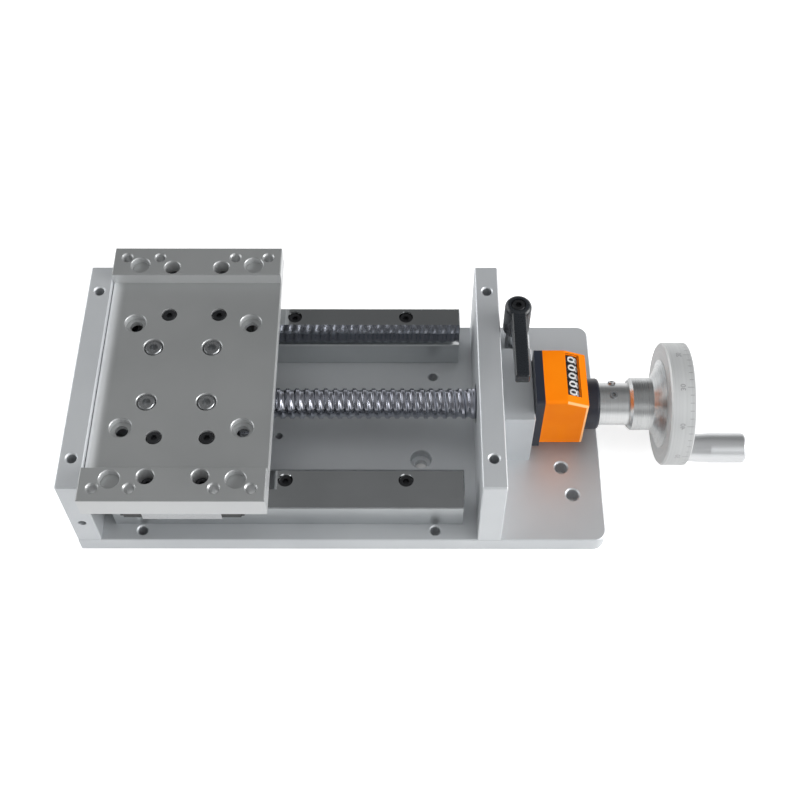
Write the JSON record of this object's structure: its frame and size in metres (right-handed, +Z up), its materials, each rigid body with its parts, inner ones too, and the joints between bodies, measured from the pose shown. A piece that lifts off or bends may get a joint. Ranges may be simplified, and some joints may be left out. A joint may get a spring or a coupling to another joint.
{
  "type": "manual cross slide table",
  "caption": "Hand-driven linear positioning table: plate on profile rails, ball screw with handwheel and crank grip, digital position counter and a lever that clamps the shaft.",
  "frame": {"origin": "centre of the base plate's underside", "axes": "+X along the screw towards the handwheel, +Y to the rear where the clamp lever stands, +Z up"},
  "size_m": [0.344, 0.1536, 0.08],
  "materials": {
    "plate_aluminium": "satin",
    "bar_aluminium": "satin",
    "rail_steel": "ground",
    "block_steel": "ground",
    "cap_plastic": "matte",
    "wiper_rubber": "matte",
    "shaft_steel": "ground",
    "nut_steel": "ground",
    "bearing_steel": "polished",
    "ring_steel": "satin",
    "bright_bolts": "satin",
    "black_bolts": "satin",
    "insert_steel": "polished",
    "lever_black": "satin",
    "spring_steel": "bright",
    "foot_black": "gloss",
    "housing_orange": "satin",
    "window_clear": "clear",
    "digit_wheels": "matte",
    "collar_black": "satin",
    "sleeve_aluminium": "turned",
    "wheel_aluminium": "polished",
    "grip_steel": "polished"
  },
  "bodies": {
    "frame": {"base_plate": "plate_aluminium", "rail_riser_front": "bar_aluminium", "rail_riser_rear": "bar_aluminium", "guide_rail_front": "rail_steel", "guide_rail_rear": "rail_steel", "rail_screws": "bright_bolts", "riser_screws": "black_bolts", "end_plate_left": "plate_aluminium", "end_plate_right": "plate_aluminium", "end_plate_screws": "black_bolts", "clamp_block": "plate_aluminium", "clamp_block_screws": "black_bolts", "left_bearing_outer_ring": "bearing_steel", "right_bearing_outer_ring": "bearing_steel", "bearing_retainer": "ring_steel", "indicator_foot": "foot_black", "indicator_screws": "black_bolts", "indicator_pin": "ring_steel", "indicator_housing": "housing_orange", "indicator_window": "window_clear", "counter_axle": "ring_steel"},
    "table": {"table_plate": "plate_aluminium", "block_screws": "black_bolts", "guide_block_front": "block_steel", "guide_block_rear": "block_steel", "block_end_caps_front": "cap_plastic", "block_end_caps_rear": "cap_plastic", "block_wipers_front": "wiper_rubber", "block_wipers_rear": "wiper_rubber", "nut_bracket": "plate_aluminium", "bracket_screws": "bright_bolts", "ball_nut": "nut_steel", "nut_screws": "bright_bolts"},
    "screw": {"ball_screw": "shaft_steel", "left_bearing_inner_ring": "bearing_steel", "right_bearing_inner_ring": "bearing_steel", "lock_nut": "ring_steel", "drive_sleeve": "sleeve_aluminium", "sleeve_grub_screws": "black_bolts", "indicator_collar": "collar_black", "collar_grub_screw": "black_bolts", "handwheel": "wheel_aluminium", "wheel_washer": "ring_steel", "wheel_screw": "bright_bolts", "grip_axle": "insert_steel"},
    "grip": {"crank_grip": "grip_steel"},
    "lever_stud": {"lever_insert": "insert_steel", "lever_screw": "bright_bolts", "lever_spring": "spring_steel"},
    "lever": {"lever_handle": "lever_black"},
    "digit_1": {"counter_wheel_1": "digit_wheels"},
    "digit_2": {"counter_wheel_2": "digit_wheels"},
    "digit_3": {"counter_wheel_3": "digit_wheels"},
    "digit_4": {"counter_wheel_4": "digit_wheels"},
    "digit_5": {"counter_wheel_5": "digit_wheels"}
  },
  "joints": [
    {"name": "screw_turn", "type": "hinge", "parent": "frame", "child": "screw", "pos_m": [0, 0, 0.034], "axis": [1, 0, 0], "range_deg": [-7200, 0]},
    {"name": "table_slide", "type": "slide", "parent": "frame", "child": "table", "axis": [1, 0, 0], "range_m": [0, 0.1]},
    {"name": "grip_spin", "type": "hinge", "parent": "screw", "child": "grip", "pos_m": [0.1775, -0.01927, 0.02144], "axis": [1, 0, 0], "continuous": true},
    {"name": "lever_turn", "type": "hinge", "parent": "frame", "child": "lever_stud", "pos_m": [0.0895, 0.03, 0.06], "axis": [0, 0, 1], "range_deg": [0, 120]},
    {"name": "lever_lift", "type": "slide", "parent": "lever_stud", "child": "lever", "axis": [0, 0, 1], "range_m": [0, 0.003], "stiffness_N_per_m": 1500, "springref_m": -0.002, "deforming": ["lever_spring"]},
    {"name": "digit_turn_1", "type": "hinge", "parent": "frame", "child": "digit_1", "pos_m": [0.11502, 0, 0.05207], "axis": [0, 1, 0], "range_deg": [0, 3.6]},
    {"name": "digit_turn_2", "type": "hinge", "parent": "frame", "child": "digit_2", "pos_m": [0.11502, 0, 0.05207], "axis": [0, 1, 0], "range_deg": [0, 36]},
    {"name": "digit_turn_3", "type": "hinge", "parent": "frame", "child": "digit_3", "pos_m": [0.11502, 0, 0.05207], "axis": [0, 1, 0], "range_deg": [0, 360]},
    {"name": "digit_turn_4", "type": "hinge", "parent": "frame", "child": "digit_4", "pos_m": [0.11502, 0, 0.05207], "axis": [0, 1, 0], "range_deg": [0, 3600]},
    {"name": "digit_turn_5", "type": "hinge", "parent": "frame", "child": "digit_5", "pos_m": [0.11502, 0, 0.05207], "axis": [0, 1, 0], "range_deg": [0, 36000]}
  ],
  "couplings": [
    {"joint": "table_slide", "follows": "screw_turn", "m_per_rad": -0.00079577},
    {"joint": "digit_turn_1", "follows": "screw_turn", "ratio": -0.0005},
    {"joint": "digit_turn_2", "follows": "screw_turn", "ratio": -0.005},
    {"joint": "digit_turn_3", "follows": "screw_turn", "ratio": -0.05},
    {"joint": "digit_turn_4", "follows": "screw_turn", "ratio": -0.5},
    {"joint": "digit_turn_5", "follows": "screw_turn", "ratio": -5}
  ]
}
